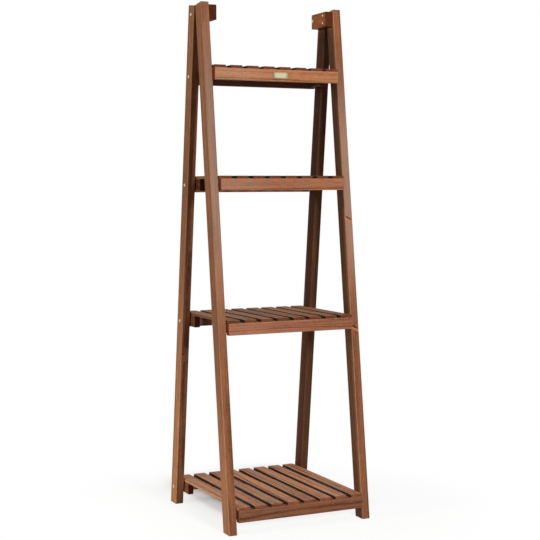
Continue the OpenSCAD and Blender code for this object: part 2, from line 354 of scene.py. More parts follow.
def fir(name, stain, contrast, matt, ior):
    """Stained fir, with growth rings, fibres, knots, dark sawn ends, rubbed edges that also carry a
    painted highlight, and painted shade and sheen.
    """
    timber = chosen("timber")
    surface = Surface(bpy.data.materials.new(name))
    board = surface.attribute("board")
    place = surface.vector_math("ADD", board, surface.attribute("log"))
    wear, resin, _ = surface.parts(surface.attribute("wear"))
    knots = [knot_masks(surface, board, which, timber.knot_radius) for which in KNOTS]
    core, rim, bend = (surface.most(*masks) for masks in zip(*knots))
    grain = {each: surface.noise(place, *look) for each, look in GRAIN.items()}
    fibre, dash, rub = grain["fibre"], grain["dash"], grain["rub"]

    # Growth rings are tubes round the pith, which runs along the board.
    _, across, deep = surface.parts(place)
    radius = surface.math("SQRT", across * across + deep * deep)
    radius = radius + 22 * MM * (grain["wander"] - 0.5) + 1.6 * MM * (grain["ripple"] - 0.5)
    radius = radius + 1.6 * timber.ring_width * bend
    uneven = surface.noise(surface.vector(radius, 0, 0), (70, 1, 1), 1)
    ring = radius / timber.ring_width + 1.3 * uneven
    turn = surface.math("FRACT", ring)
    late = surface.step(turn, 0.35, 0.92) * (1 - surface.step(turn, 0.92, 1.0))
    ring_depth = surface.noise(surface.vector(surface.math("FLOOR", ring), 0, 0), (1.7, 1, 1), 0)
    late = late * (0.15 + 1.5 * surface.step(ring_depth, 0.36, 0.68))

    # A stretch of a face is painted paler, as a painted sheen, or darker; the darker stretches of the
    # right rear leg are painted shade.
    along, _, _ = surface.parts(board)
    middle, reach, paleness = surface.parts(surface.attribute("stretch"))
    inside = 1 - surface.step(surface.size_of(along - middle) / reach, 0.2, 1.0)
    painted_sheen = inside * surface.most(paleness, 0)
    darker = inside * surface.most(0 - paleness, 0)

    canal = surface.step(grain["canal"], 0.66, 0.78)
    wood = stain
    for layer, cover in (
        (timber.late_wood, surface.least(late * 0.5 * contrast, 0.8)),
        (timber.late_wood, 0.42 * contrast * surface.step(grain["streak"], 0.48, 0.72)),
        (timber.late_wood, 0.34 * contrast * surface.step(dash, 0.50, 0.74)),
        (timber.worn_edge, 0.30 * contrast * surface.step(dash, 0.48, 0.26)),
        (timber.late_wood, 0.40 * canal),
        (timber.late_wood, 0.42 * surface.step(grain["speckle"], 0.52, 0.74)),
        (timber.worn_edge, 0.36 * surface.step(grain["speckle"], 0.48, 0.28)),
        (timber.knot_glow, 0.22 * surface.step(grain["cloud"], 0.48, 0.75)),
        (timber.worn_edge, 0.30 * surface.step(fibre, 0.50, 0.72)),
        (timber.dry_wood, painted_sheen * (0.6 + 0.8 * dash)),
        (timber.late_wood, darker),
        (timber.knot_glow, resin * rim * (1 - core)),
        (timber.knot_core, 0.75 * core),
    ):
        wood = surface.mix(wood, layer, cover)

    # A place's distances from the three pairs of faces tell the ends and the edges.
    inward = surface.vector_math("ABSOLUTE", board)
    gap = surface.vector_math("SUBTRACT", surface.attribute("half"), inward)
    from_end, from_side, from_face = gaps = surface.parts(gap)
    from_edge = from_end + from_side + from_face - surface.least(*gaps) - surface.most(*gaps)
    # Rubbed paler edges, which also carry a painted highlight along the rounded edges.
    worn_and_highlight = 1 - surface.step(from_edge + 4.2 * MM * rub - 2.1 * MM, 0.4 * MM, 3.0 * MM)
    sawn = 1 - surface.step(from_end, 0.4 * MM, 1.1 * MM)
    end_wood = surface.mix(timber.end_grain, timber.late_wood, late * 0.6 + grain["pore"] * 0.4)
    wood = surface.mix(wood, timber.worn_edge, worn_and_highlight * wear * (1 - sawn) * (0.35 + 0.70 * rub))
    wood = surface.mix(wood, end_wood, sawn * 0.9)
    # Multiplies in the tone, which carries the painted shade and sheen of boards and faces.
    wood = surface.mix(wood, surface.attribute("tone"), 1.0, "MULTIPLY")

    height = 0.45 * fibre + 0.30 * late + 0.25 * dash - 0.55 * canal - 0.5 * core
    inputs = {
        "Base Color": wood,
        "Roughness": matt + 0.14 * fibre - 0.07 * late - 0.05 * worn_and_highlight + 0.20 * sawn,
        "IOR": ior,
        "Normal": surface.bump(height, 0.35 * MM, 0.8),
    }
    return surface.principled(inputs)


def brass_plating():
    """Yellow-plated screw heads, dulled in patches and finely scratched."""
    metal = chosen("metal")
    surface = Surface(bpy.data.materials.new("stand_brass_plating"))
    place = surface.place()
    patches = surface.noise(place, (420, 420, 420), 4, 0.6)
    specks = surface.noise(place, (2600, 2600, 2600), 2)
    scratch = surface.noise(place, (300, 5200, 900), 3)
    dull = surface.step(patches, 0.42, 0.72)
    inputs = {
        "Base Color": surface.mix(metal.brass, metal.tarnish, dull * 0.75),
        "Metallic": 1.0,
        "Roughness": 0.26 + 0.26 * dull + 0.10 * scratch,
        "Normal": surface.bump(0.5 * specks + 0.5 * scratch, 0.03 * MM, 0.7),
    }
    return surface.principled(inputs)


def brushed_plate():
    """Thin pale plate, brushed along its length, duller at its ends, with painted shade along its rim."""
    metal = chosen("metal")
    surface = Surface(bpy.data.materials.new("stand_brushed_plate"))
    low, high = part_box("front_plate")
    middle, half = middle_of(low, high), (high - low) / 2
    place = surface.place()
    x, _, z = surface.parts(place)
    out_x, out_z = surface.size_of(x - middle.x), surface.size_of(z - middle.z)
    # Painted shade along the rim, standing in for a raised border.
    from_rim = surface.least(half.x - out_x, half.z - out_z)
    rim_shade = 1 - surface.step(from_rim, 1.2 * MM, 2.6 * MM)
    brush = surface.noise(place, (60, 900, 4200), 4, 0.6)
    patches = surface.noise(place, (90, 90, 90), 3)
    dull = surface.step(out_x / half.x + 0.5 * patches - 0.25, 0.55, 1.1)
    tint = surface.mix(metal.plate, metal.plate_shade, dull * 0.8)
    tint = surface.mix(tint, metal.plate_shade, 0.35 * brush)
    inputs = {
        "Base Color": surface.mix(tint, metal.plate_shade, 0.6 * rim_shade),
        "Metallic": 1.0,
        "Roughness": 0.34 + 0.22 * brush + 0.12 * dull,
        "Normal": surface.bump(brush, 0.04 * MM, 0.6),
    }
    return surface.principled(inputs)


def dowel_wood():
    """Plain unstained hardwood with short pores."""
    timber = chosen("timber")
    surface = Surface(bpy.data.materials.new("stand_dowel_wood"))
    place = surface.place()
    grain = surface.noise(place, (40, 1400, 1400), 3)
    pores = surface.step(surface.noise(place, (120, 2600, 2600), 1), 0.62, 0.74)
    pale = [min(1.0, 1.15 * channel) for channel in timber.dowel_wood]
    dark = [0.55 * channel for channel in timber.dowel_wood]
    wood = surface.mix(surface.mix(timber.dowel_wood, pale, grain), dark, 0.5 * pores)
    inputs = {
        "Base Color": wood,
        "Roughness": 0.55 + 0.15 * grain,
        "Normal": surface.bump(grain - pores, 0.15 * MM, 0.7),
    }
    return surface.principled(inputs)


# ---- Shared building tools ----


def extent(points):
    low = Vector(min(point[axis] for point in points) for axis in range(3))
    high = Vector(max(point[axis] for point in points) for axis in range(3))
    return low, high


def middle_of(low, high):
    return (low + high) / 2


def solids(node):
    """The extent of each separate solid in a packed node."""
    shape = bmesh.new()
    shape.from_mesh(frame["nodes"][node].data)
    bmesh.ops.remove_doubles(shape, verts=shape.verts, dist=SAME_PLACE)
    waiting, found = set(shape.verts), []
    while waiting:
        island, front = set(), {waiting.pop()}
        while front:
            vertex = front.pop()
            island.add(vertex)
            touching = {edge.other_vert(vertex) for edge in vertex.link_edges}
            front |= touching & waiting
            waiting -= touching
        found.append(extent([vertex.co.copy() for vertex in island]))
    shape.free()
    return sorted(found, key=lambda box: tuple(round(value, 5) for value in (*box[0], *box[1])))


def rods():
    """Every screw, bolt and dowel as (lowest x, highest x, y, z, radius of its hole)."""
    metal = chosen("metal")
    shanks = {
        "pivot_screws": metal.pivot_shank,
        "top_pivot_bolts": metal.pivot_shank,
        "top_block_screws": metal.block_shank,
        "crossbar_dowels": None,
    }
    found = []
    for node, shank in shanks.items():
        for low, high in solids(node):
            radius = (shank or high.z - low.z) / 2 + metal.fit
            _, y, z = middle_of(low, high)
            found.append((low.x, high.x, y, z, radius))
    return found


def evaluated(thing):
    """Replaces an object's mesh with what its modifiers make of it."""
    graph = bpy.context.evaluated_depsgraph_get()
    mesh = bpy.data.meshes.new_from_object(thing.evaluated_get(graph), depsgraph=graph)
    mesh.name = thing.name
    thing.modifiers.clear()
    thing.data = mesh
    return thing


def shade(thing, sharp_degrees):
    """Shades flat faces flat and rounded ones round."""
    thing.data.polygons.foreach_set("use_smooth", [True] * len(thing.data.polygons))
    thing.data.set_sharp_from_angle(angle=math.radians(sharp_degrees))
    weighted = thing.modifiers.new("normals", "WEIGHTED_NORMAL")
    weighted.keep_sharp = True
    weighted.weight = FACE_WEIGHT
    return evaluated(thing)


def new_object(name, mesh):
    thing = bpy.data.objects.new(name, mesh)
    bpy.context.scene.collection.objects.link(thing)
    return thing


def from_shape(name, shape):
    mesh = bpy.data.meshes.new(name)
    shape.to_mesh(mesh)
    shape.free()
    return new_object(name, mesh)


def remove(thing):
    mesh = thing.data
    bpy.data.objects.remove(thing)
    bpy.data.meshes.remove(mesh)


def bevelled(thing, width, steps, **limits):
    """Rounds the edges of a piece."""
    rounded = thing.modifiers.new("rounding", "BEVEL")
    rounded.width = width
    rounded.segments = steps
    for name, value in limits.items():
        setattr(rounded, name, value)
    evaluated(thing)


def cut(thing, cutter, operation="DIFFERENCE"):
    """Takes the cutter out of a piece, or joins the two."""
    boolean = thing.modifiers.new("cut", "BOOLEAN")
    boolean.operation = operation
    boolean.object = cutter
    boolean.solver = "EXACT"
    evaluated(thing)
    remove(cutter)


def drill(thing, low, high):
    """Cuts the holes of every screw, bolt and dowel whose axis runs through the board's extent."""
    metal = chosen("metal")
    steps = chosen("counts").turn_steps
    shape = bmesh.new()
    for left, right, y, z, radius in rods():
        if not (low.y < y < high.y and low.z < z < high.z and left < high.x and right > low.x):
            continue
        place = Matrix.Translation(((left + right) / 2, y, z)) @ UPRIGHT_TO_X
        bmesh.ops.create_cone(
            shape, cap_ends=True, segments=steps, radius1=radius, radius2=radius,
            depth=right - left + 2 * metal.reserve, matrix=place,
        )
    if shape.verts:
        cut(thing, from_shape("holes", shape))
    else:
        shape.free()


def add_vector(thing, name, vectors):
    layer = thing.data.attributes.new(name, "FLOAT_VECTOR", "POINT")
    layer.data.foreach_set("vector", [value for vector in vectors for value in vector])


def dress(thing, body, slot, material, *nodes):
    """Gives a piece its material and its body, and hides the packed nodes that it stands for.
    Its slot is not used.
    """
    thing.data.materials.clear()
    thing.data.materials.append(material)
    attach(thing, body)
    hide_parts(*nodes)


# The settings of each slot's stain and rounding, how far its pith lies to the side of the wide
# faces, as an angle, then the contrast of its grain, its roughness and its index of refraction.
WOODS = {
    "leg_wood": ("leg_stain", "leg_round", 0.5, 1.25, 0.38, 1.08),
    "rail_wood": ("rail_stain", "rail_round", 1.2, 1.25, 0.38, 1.08),
    "slat_wood": ("slat_stain", "slat_round", 0.9, 2.0, 0.60, 1.15),
    "block_wood": ("block_stain", "rail_round", 1.2, 2.0, 0.38, 1.08),
    "crossbar_wood": ("block_stain", "rail_round", 1.2, 1.25, 0.38, 1.08),
}


def fir_of(slot):
    """The finish of one slot's boards, made the first time that it is asked for."""
    name = "stand_fir_" + slot
    stain, _, _, *look = WOODS[slot]
    return bpy.data.materials.get(name) or fir(name, tuple(getattr(chosen("timber"), stain)), *look)


# ---- Boards ----

FAR_AWAY = (9, 9, 9)
# Each knot's height above the floor, its distance from the leg's middle to the right and to the
# back, and the run of its branch along the leg, to the right and to the back.
LEG_KNOTS = {
    "front_leg_right": [
        ((0.849, -0.004, -0.021), (-0.40, 0.90, 0.10)),
        ((0.539, -0.004, -0.021), (-0.40, 0.90, 0.10)),
    ],
    "rear_leg_left": [
        ((1.171, -0.012, 0.004), (0.10, 1.00, 0.05)),
        ((0.456, -0.006, -0.021), (0.10, 0.05, 1.00)),
    ],
}
# The palest and the darkest boards, against an ordinary one. The top shelf's rear rail, the left
# side blocks and the left top block are darkened as painted shade, and the front rails grade from
# pale at the top to dark at the bottom, partly as painted light and shade.
BOARD_TONES_LIGHT_SHADE = {
    "front_leg_left": (1.02, 1.01, 0.98),
    "front_leg_right": (0.98, 0.96, 0.92),
    "rear_leg_left": (1.08, 1.08, 1.00),
    "rear_leg_right": (0.94, 0.80, 0.72),
    "shelf_1_front_rail": (1.38, 1.30, 1.10),
    "shelf_1_rear_rail": (0.62, 0.62, 0.66),
    "shelf_2_rear_rail": (1.35, 1.35, 1.38),
    "shelf_3_rear_rail": (0.75, 0.75, 0.78),
    "shelf_2_side_blocks_left": (0.50, 0.48, 0.50),
    "shelf_2_front_rail": (1.10, 1.04, 0.99),
    "shelf_3_front_rail": (1.06, 1.00, 0.99),
    "shelf_4_front_rail": (0.72, 0.69, 0.68),
    "shelf_3_side_blocks_left": (0.62, 0.60, 0.60),
    "shelf_4_side_blocks_left": (0.80, 0.78, 0.78),
    "top_block_left": (0.55, 0.48, 0.46),
    "top_block_right": (1.20, 1.08, 0.95),
}
# The slats of the two lower shelves, against those of the upper ones. The lowest shelf's are much
# paler, partly as painted light falling on that shelf.
SLAT_TONES_AND_LIGHT = {"shelf_3": (0.97, 0.98, 0.95), "shelf_4": (1.48, 1.58, 1.68)}
# Faces coloured unlike the rest of their board: painted sheen on the faces towards -X of both left
# legs and of the right front leg, painted shade on the right rear leg's face towards -X and on the
# front faces of both rear legs, and a darker front end on the right top block. Then the direction
# in the board, 0 along it, 1 across it and 2 through it, which of the two faces, and its colour
# against the rest.
FACE_SHADE_SHEEN_TONES = {
    "front_leg_left": [(1, -1, (1.09, 1.24, 1.24))],
    "front_leg_right": [(1, -1, (1.00, 1.15, 1.13))],
    "rear_leg_left": [(1, -1, (1.09, 1.22, 1.15)), (2, -1, (0.80, 0.82, 0.88))],
    "rear_leg_right": [(1, -1, (0.60, 0.62, 0.56)), (2, -1, (0.58, 0.76, 0.84))],
    "top_block_right": [(0, -1, (0.62, 0.62, 0.62))],
}
# Painted shade on the sides of slats: dark on those that face another slat, less dark on those that
# don't.
GAP_SHADE, OUTER_SIDE_SHADE = (0.22, 0.22, 0.22), (0.65, 0.65, 0.65)
# How much the edges of a board are rubbed paler, which also stands for a painted highlight along them,
# against an ordinary one.
WEAR_AND_HIGHLIGHT = {"front_leg_left": 0.55, "rear_leg_right": 0.12, "rear_leg_left": 0.70}
SLAT_WEAR_AND_HIGHLIGHT = 0.35
# Stretches of a face painted paler as a painted sheen, and darker ones where the last number is
# negative: the face as above, then how far along the board its middle lies, half its length and how
# pale it is. The darker stretches on the right rear leg are painted shade under the top shelf; those
# on the faces towards -X of the left legs are just darker.
SHEEN_SHADE_STRETCHES = {
    "front_leg_left": [(2, -1, 0.28, 0.52, 0.32), (1, -1, -0.17, 0.50, -0.42)],
    "front_leg_right": [(2, -1, 0.22, 0.42, 0.38), (1, -1, 0.21, 0.38, -0.28)],
    "rear_leg_left": [(1, -1, 0.23, 0.42, -0.36)],
    "rear_leg_right": [(1, -1, 0.28, 0.34, -0.45), (2, -1, 0.46, 0.50, -0.45)],
    "shelf_1_front_rail": [(2, 1, -0.16, 0.16, 0.16)],
    "shelf_2_front_rail": [(2, 1, -0.16, 0.16, 0.14)],
    "shelf_3_front_rail": [(2, 1, -0.16, 0.14, 0.06)],
}
# How strongly resin glows round the knots of the front boards and of the others.
FRONT_RESIN, RESIN = 0.92, 0.25
# What lies within this depth of a face counts as on it.
FACE_DEPTH = 0.1 * MM
# The least cosine between two directions that count as one.
ALONG = 0.999
# What is drawn for each board: how far the pith is from its middle, where along the log it lies,
# how light it is and how warm.
PITH_AWAY, LOG_RUN, LIGHT, WARMTH = (0.035, 0.080), 8, (0.88, 1.12), 0.045


class Board:
    """A straight board: its middle, its length and width directions, and its size along each."""

    def __init__(self, low, high, along, across):
        through = along.cross(across)
        self.middle = middle_of(low, high)
        self.directions = (along, across, through)
        self.size = Vector(abs((high - low).dot(direction)) for direction in self.directions)
        self.low, self.high = low, high

    def matrix(self):
        rows = Matrix(self.directions).transposed().to_4x4()
        return Matrix.Translation(self.middle) @ rows


def cut_at_floor(shape):
    """Cuts a leaning leg level with the floor and closes the cut."""
    everything = shape.verts[:] + shape.edges[:] + shape.faces[:]
    made = bmesh.ops.bisect_plane(
        shape, geom=everything, plane_co=(0, 0, 0), plane_no=(0, 0, -1), clear_outer=True
    )
    edges = [item for item in made["geom_cut"] if isinstance(item, bmesh.types.BMEdge)]
    bmesh.ops.edgeloop_fill(shape, edges=edges)


def weigh_edges(thing, direction, end_share):
    """Full rounding for edges along the board, and a share of it for the others."""
    weights = thing.data.attributes.new("bevel_weight_edge", "FLOAT", "EDGE")
    corners = thing.data.vertices
    for edge in thing.data.edges:
        run = (corners[edge.vertices[1]].co - corners[edge.vertices[0]].co).normalized()
        is_long = abs(run.dot(direction)) > ALONG
        weights.data[edge.index].value = 1.0 if is_long else end_share


def slat_side_shade(name):
    """The painted shade of a slat's two sides."""
    if "_slat_" not in name:
        return []
    index = int(name.rsplit("_", 1)[1])
    left = GAP_SHADE if index > SLATS[0] else OUTER_SIDE_SHADE
    right = GAP_SHADE if index < SLATS[-1] else OUTER_SIDE_SHADE
    return [(1, -1, left), (1, 1, right)]


def on_face(board, place, axis, side):
    """Whether a place in a board lies on that one of its six faces."""
    return place[axis] * side > board.size[axis] / 2 - FACE_DEPTH


def mark_wood(thing, name, board, rounding, pith_swing):
    """Stores what the fir finish reads: places in the board, its log, its tone with its painted shade and
    sheen, and its knots.
    """
    draw = random.Random(name)
    back = board.matrix().inverted()
    places = [back @ vertex.co for vertex in thing.data.vertices]
    angle = draw.uniform(-pith_swing, pith_swing)
    pith = draw.uniform(*PITH_AWAY) * draw.choice((-1, 1))
    log = (draw.uniform(-LOG_RUN, LOG_RUN), pith * math.sin(angle), pith * math.cos(angle))
    light = draw.uniform(*LIGHT)
    warmth = draw.uniform(-WARMTH, WARMTH)
    # The board's own tone, with painted shade and light on some boards.
    tone = BOARD_TONES_LIGHT_SHADE.get(name, (light * (1 + warmth), light, light * (1 - warmth)))
    shelf, is_slat, _ = name.partition("_slat_")
    if is_slat:
        # Paler slats on the lowest shelf, partly painted light.
        tone = Vector(tone) * Vector(SLAT_TONES_AND_LIGHT.get(shelf, (1, 1, 1)))
    tones_shade_sheen = [Vector(tone) for place in places]
    stretches = [(0, 1, 0)] * len(places)
    for index, place in enumerate(places):
        for axis, side, face_shade_sheen in FACE_SHADE_SHEEN_TONES.get(name, []):
            # The colour of a face, its painted shade and sheen included, fades out over the rounded edge,
            # into that of the next face.
            depth = board.size[axis] / 2 - place[axis] * side
            hold = max(0, 1 - depth / rounding) ** 2
            tones_shade_sheen[index] = tones_shade_sheen[index] * Vector(part**hold for part in face_shade_sheen)
        # Painted shade on the sides of a slat.
        for axis, side, face_shade_sheen in slat_side_shade(name):
            if on_face(board, place, axis, side):
                tones_shade_sheen[index] = tones_shade_sheen[index] * Vector(face_shade_sheen)
        # Stretches of painted sheen, and darker stretches.
        for axis, side, *stretch in SHEEN_SHADE_STRETCHES.get(name, []):
            if on_face(board, place, axis, side):
                stretches[index] = stretch
    knots = dict.fromkeys(KNOTS, (FAR_AWAY, Y_AXIS))
    for which, ((height, across, deep), run) in zip(knots, LEG_KNOTS.get(name, [])):
        along = (height - board.middle.z) / board.directions[0].z
        knots[which] = ((along, across, deep), Vector(run).normalized())
    wear = SLAT_WEAR_AND_HIGHLIGHT if is_slat else WEAR_AND_HIGHLIGHT.get(name, 1)
    resin = FRONT_RESIN if name.startswith("front") else RESIN
    add_vector(thing, "board", places)
    add_vector(thing, "tone", tones_shade_sheen)
    add_vector(thing, "stretch", stretches)
    same = {"half": board.size / 2, "log": log, "wear": (wear, resin, 0)}
    for which, (place, run) in knots.items():
        same.update({which: place, which + "_axis": run})
    for layer, value in same.items():
        add_vector(thing, layer, [value] * len(places))


def board_piece(name, board, slot, on_floor):
    """A board with rounded edges, its holes drilled and its wood marked."""
    timber = chosen("timber")
    _, setting, pith_swing, *_ = WOODS[slot]
    rounding = getattr(timber, setting)
    shape = bmesh.new()
    bmesh.ops.create_cube(shape, size=1)
    bmesh.ops.scale(shape, vec=board.size, verts=shape.verts)
    bmesh.ops.transform(shape, matrix=board.matrix(), verts=shape.verts)
    if on_floor:
        cut_at_floor(shape)
    bmesh.ops.recalc_face_normals(shape, faces=shape.faces)
    thing = from_shape(name, shape)
    weigh_edges(thing, board.directions[0], timber.end_round)
    bevelled(thing, rounding, chosen("counts").edge_steps, limit_method="WEIGHT")
    drill(thing, board.low, board.high)
    mark_wood(thing, name.removesuffix("_board"), board, rounding, pith_swing)
    return shade(thing, WOOD_CREASE)


def add_board(node, board, slot, on_floor=False):
    """The board that stands for one packed node."""
    thing = board_piece(node + "_board", board, slot, on_floor)
    dress(thing, BODY_OF[node], slot, fir_of(slot), node)


def leg_board(node, lean):
    """A leaning leg. lean is positive for a front leg, whose top leans back."""
    leg_depth = chosen("timber").leg_depth
    low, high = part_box(node)
    foot_run = leg_depth / math.cos(lean)
    foot = (low.y + foot_run / 2) if lean > 0 else (high.y - foot_run / 2)
    along = Vector((0, math.sin(lean), math.cos(lean)))
    reach = (high.z - leg_depth / 2 * math.sin(abs(lean))) / math.cos(lean)
    below = leg_depth * math.tan(abs(lean))
    board = Board(low, high, along, X_AXIS)
    board.size = Vector((reach + below, high.x - low.x, leg_depth))
    board.middle = Vector(((low.x + high.x) / 2, foot, 0)) + along * ((reach - below) / 2)
    return board


def turned(name, profile):
    """A turned shape round the X axis from (x, radius) points. Its first and last radius are 0."""
    steps = chosen("counts").turn_steps
    shape = bmesh.new()
    rings = []
    for x, radius in profile:
        if radius == 0:
            rings.append([shape.verts.new((x, 0, 0))])
            continue
        turns = [2 * math.pi * step / steps for step in range(steps)]
        places = [(x, radius * math.cos(turn), radius * math.sin(turn)) for turn in turns]
        rings.append([shape.verts.new(place) for place in places])
    for one, other in zip(rings, rings[1:]):
        for step in range(steps):
            after = (step + 1) % steps
            corners = [one[step % len(one)], one[after % len(one)]]
            corners += [other[after % len(other)], other[step % len(other)]]
            shape.faces.new(dict.fromkeys(corners))
    bmesh.ops.recalc_face_normals(shape, faces=shape.faces)
    return from_shape(name, shape)


def dome(start, rise, radius):
    """The profile of a dome from its rim at start to its top at start + rise."""
    rows = [(start + rise * math.sin(turn), radius * math.cos(turn)) for turn in QUARTER_ARC]
    return rows[:-1] + [(start + rise, 0)]


def cross_recess(reach, width, depth):
    """A cutter for a cross recess that is cut at x = 0 and narrows to its floor at x = depth."""
    arm, half, taper = reach / 2, width / 2, 0.45
    outline = []
    for quarter in range(4):
        turn = Matrix.Rotation(math.pi / 2 * quarter, 2)
        outline += [turn @ Vector(point) for point in ((arm, -half), (arm, half), (half, half))]
    shape = bmesh.new()
    mouth, floor = (
        [shape.verts.new((x, *(narrow * point))) for point in outline]
        for x, narrow in ((-depth, 1 + taper), (depth, 1 - taper))
    )
    for step in range(len(outline)):
        after = (step + 1) % len(outline)
        shape.faces.new((mouth[step], mouth[after], floor[after], floor[step]))
    shape.faces.new(mouth)
    shape.faces.new(floor)
    bmesh.ops.recalc_face_normals(shape, faces=shape.faces)
    return from_shape("recess", shape)


def set_between(thing, low, high, side, depth=0):
    """Puts a piece made along +X into its extent, starting depth below the end that side names."""
    _, y, z = middle_of(low, high)
    x = high.x - depth if side > 0 else low.x + depth
    flip = Matrix.Rotation(math.pi, 4, "Z") if side > 0 else Matrix.Identity(4)
    thing.data.transform(Matrix.Translation((x, y, z)) @ flip)


def screw_piece(name, low, high, shank, head_side, tip):
    """A round-headed screw in the extent low to high, its head towards head_side, 1 for +X."""
    metal = chosen("metal")
    width = high.z - low.z
    head_height = width * metal.head_height
    rim = metal.head_rim * head_height
    end = high.x - low.x - head_height
    profile = dome(-rim, rim - head_height, width / 2)[::-1]
    profile += [(0, width / 2), (0, shank / 2), (end - tip, shank / 2), (end, 0)]
    thing = turned(name, profile)
    recess = cross_recess(
        width * metal.recess_length, width * metal.recess_width, head_height * metal.recess_depth
    )
    turn = random.Random(name).uniform(0, math.pi / 2)
    recess.data.transform(Matrix.Translation((-head_height, 0, 0)) @ Matrix.Rotation(turn, 4, "X"))
    cut(thing, recess)
    set_between(thing, low, high, head_side, head_height)
    return shade(thing, METAL_CREASE)


def joined(name, things):
    """One object that holds the meshes of several."""
    shape = bmesh.new()
    for thing in things:
        shape.from_mesh(thing.data)
        remove(thing)
    return from_shape(name, shape)


def side_of(low, high):
    return 1 if low.x + high.x > 0 else -1


def screw_group(node, shank, tip, head_towards):
    """Every screw of one packed node, as one piece. Heads face outwards for 1, inwards for -1."""
    made = []
    for index, (low, high) in enumerate(solids(node)):
        head_side = side_of(low, high) * head_towards
        made.append(screw_piece(f"{node}_{index}", low, high, shank, head_side, tip))
    thing = joined("stand_" + node, made)
    shade(thing, METAL_CREASE)
    plating = bpy.data.materials.get("stand_brass_plating") or brass_plating()
    dress(thing, BODY_OF[node], "screw_brass", plating, node)


# ---- Operators, one for each piece or group of like pieces ----


class PLANTSTAND_OT_legs(bpy.types.Operator):
    """Build the two front legs and the two rear legs"""

    bl_idname = "plantstand.legs"
    bl_label = "Legs"

    def execute(self, context):
        for place, lean in (("front", LEG_LEAN), ("rear", -LEG_LEAN)):
            for side in SIDES:
                node = f"{place}_leg_{side}"
                add_board(node, leg_board(node, lean), "leg_wood", on_floor=True)
        return {"FINISHED"}


class PLANTSTAND_OT_blocks(bpy.types.Operator):
    """Build the top blocks and the side blocks that hang the shelves"""

    bl_idname = "plantstand.blocks"
    bl_label = "Blocks"

    def execute(self, context):
        for side in SIDES:
            node = f"top_block_{side}"
            add_board(node, Board(*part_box(node), Y_AXIS, Z_AXIS), "block_wood")
        for shelf in SHELVES:
            node = f"shelf_{shelf}_side_blocks"
            pair = []
            for side, box in zip(SIDES, solids(node)):
                board = Board(*box, Y_AXIS, Z_AXIS)
                pair.append(board_piece(f"{node}_{side}", board, "block_wood", False))
            thing = shade(joined(f"shelf_{shelf}_side_block_boards", pair), WOOD_CREASE)
            dress(thing, BODY_OF[node], "block_wood", fir_of("block_wood"), node)
        return {"FINISHED"}


class PLANTSTAND_OT_crossbars(bpy.types.Operator):
    """Build the crossbars between the front legs, with their dowels"""

    bl_idname = "plantstand.crossbars"
    bl_label = "Crossbars"

    def execute(self, context):
        for shelf in SHELVES:
            node = f"front_crossbar_{shelf}"
            add_board(node, Board(*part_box(node), X_AXIS, Z_AXIS), "crossbar_wood")
        dowels = frame["nodes"]["crossbar_dowels"].data.materials
        wood = dowel_wood()
        for index in range(len(dowels)):
            dowels[index] = wood
        return {"FINISHED"}


class PLANTSTAND_OT_rails(bpy.types.Operator):
    """Build the front and rear rails of the shelves"""

    bl_idname = "plantstand.rails"
    bl_label = "Rails"

    def execute(self, context):
        for shelf in SHELVES:
            for place in ("front", "rear"):
                node = f"shelf_{shelf}_{place}_rail"
                add_board(node, Board(*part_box(node), X_AXIS, Z_AXIS), "rail_wood")
        return {"FINISHED"}


class PLANTSTAND_OT_slats(bpy.types.Operator):
    """Build the slats of the shelves"""

    bl_idname = "plantstand.slats"
    bl_label = "Slats"

    def execute(self, context):
        for shelf in SHELVES:
            for index in SLATS:
                node = f"shelf_{shelf}_slat_{index}"
                add_board(node, Board(*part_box(node), Y_AXIS, X_AXIS), "slat_wood")
        return {"FINISHED"}


# The height of a nut's flats over the nut's, its closed end's thickness and its edges' chamfer.
NUT_FLATS, NUT_WALL, NUT_CHAMFER = 0.55, 2 * MM, 0.35 * MM


class PLANTSTAND_OT_fixings(bpy.types.Operator):
    """Build the pivot screws, the top bolts with their domed nuts, and the block screws"""

    bl_idname = "plantstand.fixings"
    bl_label = "Fixings"

    def execute(self, context):
        metal = chosen("metal")
        screw_group("pivot_screws", metal.pivot_shank, metal.screw_tip, 1)
        screw_group("top_pivot_bolts", metal.pivot_shank, 0, 1)
        screw_group("top_block_screws", metal.block_shank, metal.screw_tip, -1)
        self.nuts(metal)
        return {"FINISHED"}

    def nuts(self, metal):
        """Hexagonal nuts with a domed cap, bored for the bolts."""
        node = "top_pivot_nuts"
        made = []
        for index, (low, high) in enumerate(solids(node)):
            height = high.x - low.x
            across_flats = min(high.y - low.y, high.z - low.z)
            flats = height * NUT_FLATS
            corner = across_flats / math.sqrt(3)
            shape = bmesh.new()
            bmesh.ops.create_cone(
                shape, cap_ends=True, segments=6, radius1=corner, radius2=corner, depth=flats
            )
            bmesh.ops.bevel(
                shape, geom=shape.edges[:], offset=NUT_CHAMFER, segments=2, affect="EDGES", profile=0.5
            )
            thing = from_shape(f"nut_{index}", shape)
            thing.data.transform(Matrix.Translation((flats / 2, 0, 0)) @ UPRIGHT_TO_X)
            radius = across_flats / 2 - NUT_CHAMFER
            cap = [(flats / 2, 0), (flats / 2, radius), *dome(flats, height - flats, radius)]
            cut(thing, turned("cap", cap), "UNION")
            bore, depth = metal.pivot_shank / 2 + metal.fit, height - NUT_WALL
            hole = [(-NUT_WALL, 0), (-NUT_WALL, bore), (depth, bore), (depth, 0)]
            cut(thing, turned("bore", hole))
            set_between(thing, low, high, side_of(low, high))
            made.append(thing)
        thing = shade(joined("stand_top_pivot_nuts", made), METAL_CREASE)
        dress(thing, BODY_OF[node], "screw_brass", bpy.data.materials["stand_brass_plating"], node)


